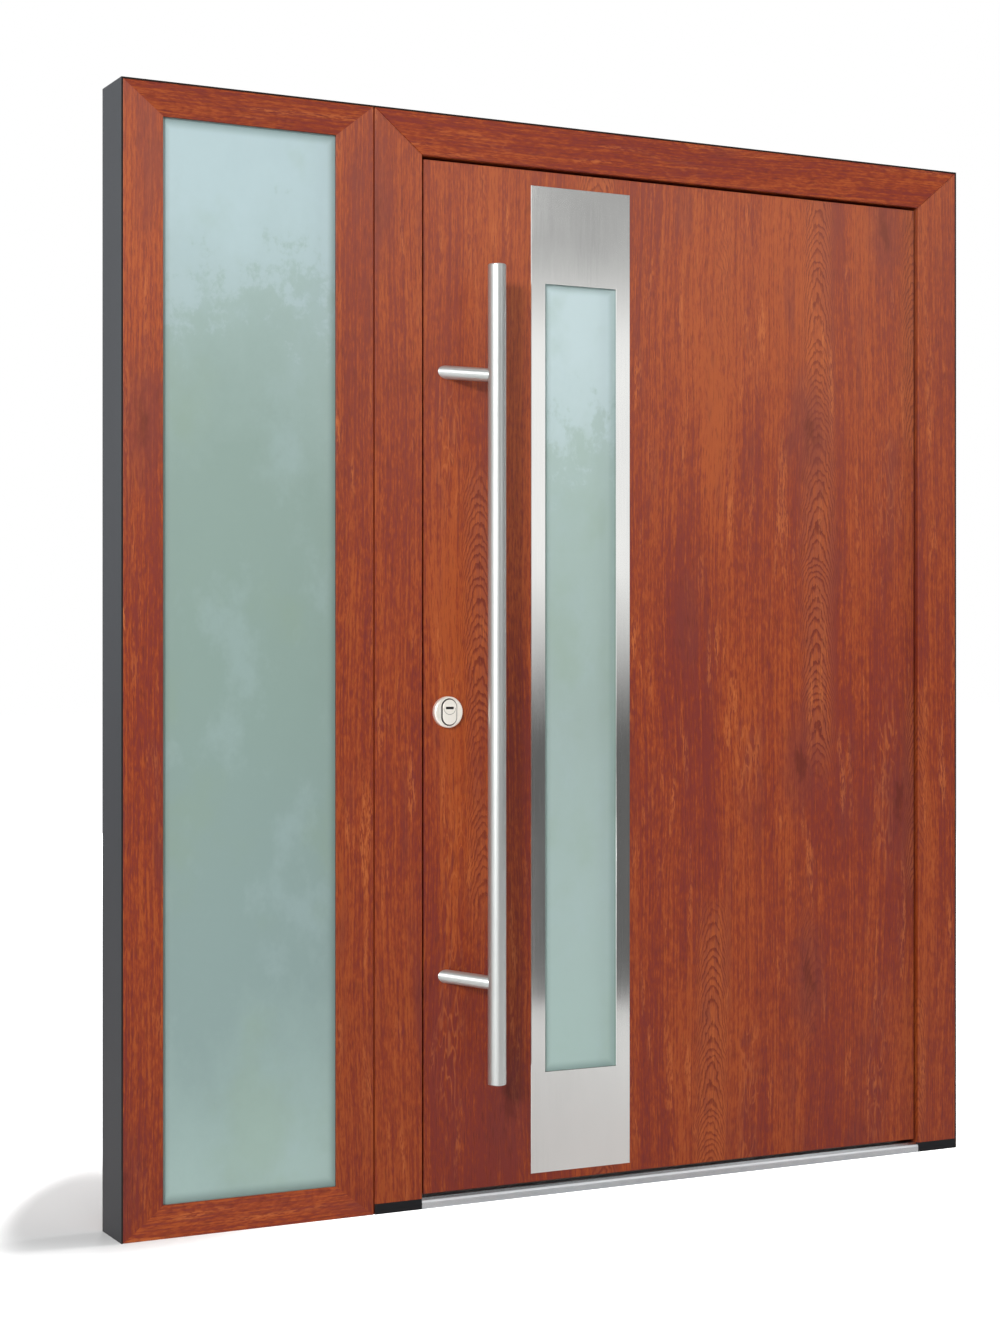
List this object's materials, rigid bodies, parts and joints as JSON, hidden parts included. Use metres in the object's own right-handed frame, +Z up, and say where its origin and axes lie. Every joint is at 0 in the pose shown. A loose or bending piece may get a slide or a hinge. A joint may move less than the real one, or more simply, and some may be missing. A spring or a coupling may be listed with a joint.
{
  "type": "exterior door",
  "caption": "Entrance door set: wood-grain leaf with a tall steel-framed frosted window and a long pull bar, swinging inward in a mitred frame beside a fixed frosted sidelight.",
  "frame": {"origin": "on the underside of the sill, at the middle of the overall width and of the frame's depth", "axes": "+X to the right as seen from outside, +Y into the house, +Z up"},
  "size_m": [1.87, 0.251, 2.1],
  "materials": {
    "wood_decor": "satin reddish-brown wood-grain decor",
    "grey_metal": "matt dark grey coating",
    "steel": "brushed stainless",
    "aluminium": "natural anodised",
    "black_plastic": "matt black",
    "black_rubber": "matt black",
    "frosted_glass": "satin etched, pale green-grey",
    "clear_glass": "clear"
  },
  "bodies": {
    "frame": {"lock_jamb": "wood_decor", "hinge_jamb": "wood_decor", "frame_head": "wood_decor", "lock_jamb_foot": "black_plastic", "hinge_jamb_foot": "black_plastic", "sill": "aluminium", "sill_break": "black_plastic", "frame_seal": "black_rubber", "lock_keeps": "steel", "left_edge_strip": "grey_metal", "right_edge_strip": "grey_metal", "top_edge_strip": "grey_metal", "coupling_strip": "grey_metal", "sidelight_left_stile": "wood_decor", "sidelight_right_stile": "wood_decor", "sidelight_top_rail": "wood_decor", "sidelight_bottom_rail": "wood_decor", "sidelight_seal": "black_rubber", "sidelight_outer_pane": "frosted_glass", "sidelight_spacer": "aluminium", "sidelight_inner_pane": "clear_glass", "sidelight_beads": "wood_decor", "upper_hinge_frame_half": "steel", "middle_hinge_frame_half": "steel", "lower_hinge_frame_half": "steel"},
    "leaf": {"leaf_core": "grey_metal", "leaf_outer_skin": "wood_decor", "leaf_inner_skin": "wood_decor", "leaf_bottom_seal": "black_rubber", "window_surround": "steel", "window_seal": "black_rubber", "window_outer_pane": "frosted_glass", "window_spacer": "aluminium", "window_inner_pane": "clear_glass", "window_inner_trim": "steel", "pull_bar": "steel", "pull_stay_upper": "steel", "pull_stay_lower": "steel", "lock_rosette": "steel", "lock_shield": "steel", "lock_cylinder": "steel", "inside_roses": "steel", "inside_lever": "steel", "lock_faceplate": "steel", "lock_bolts": "steel", "upper_hinge_leaf_half": "steel", "middle_hinge_leaf_half": "steel", "lower_hinge_leaf_half": "steel"}
  },
  "joints": [
    {"name": "leaf_swing", "type": "hinge", "parent": "frame", "child": "leaf", "pos_m": [0.852, 0.071, 1.01825], "axis": [0, 0, -1], "range_deg": [0, 110]}
  ]
}
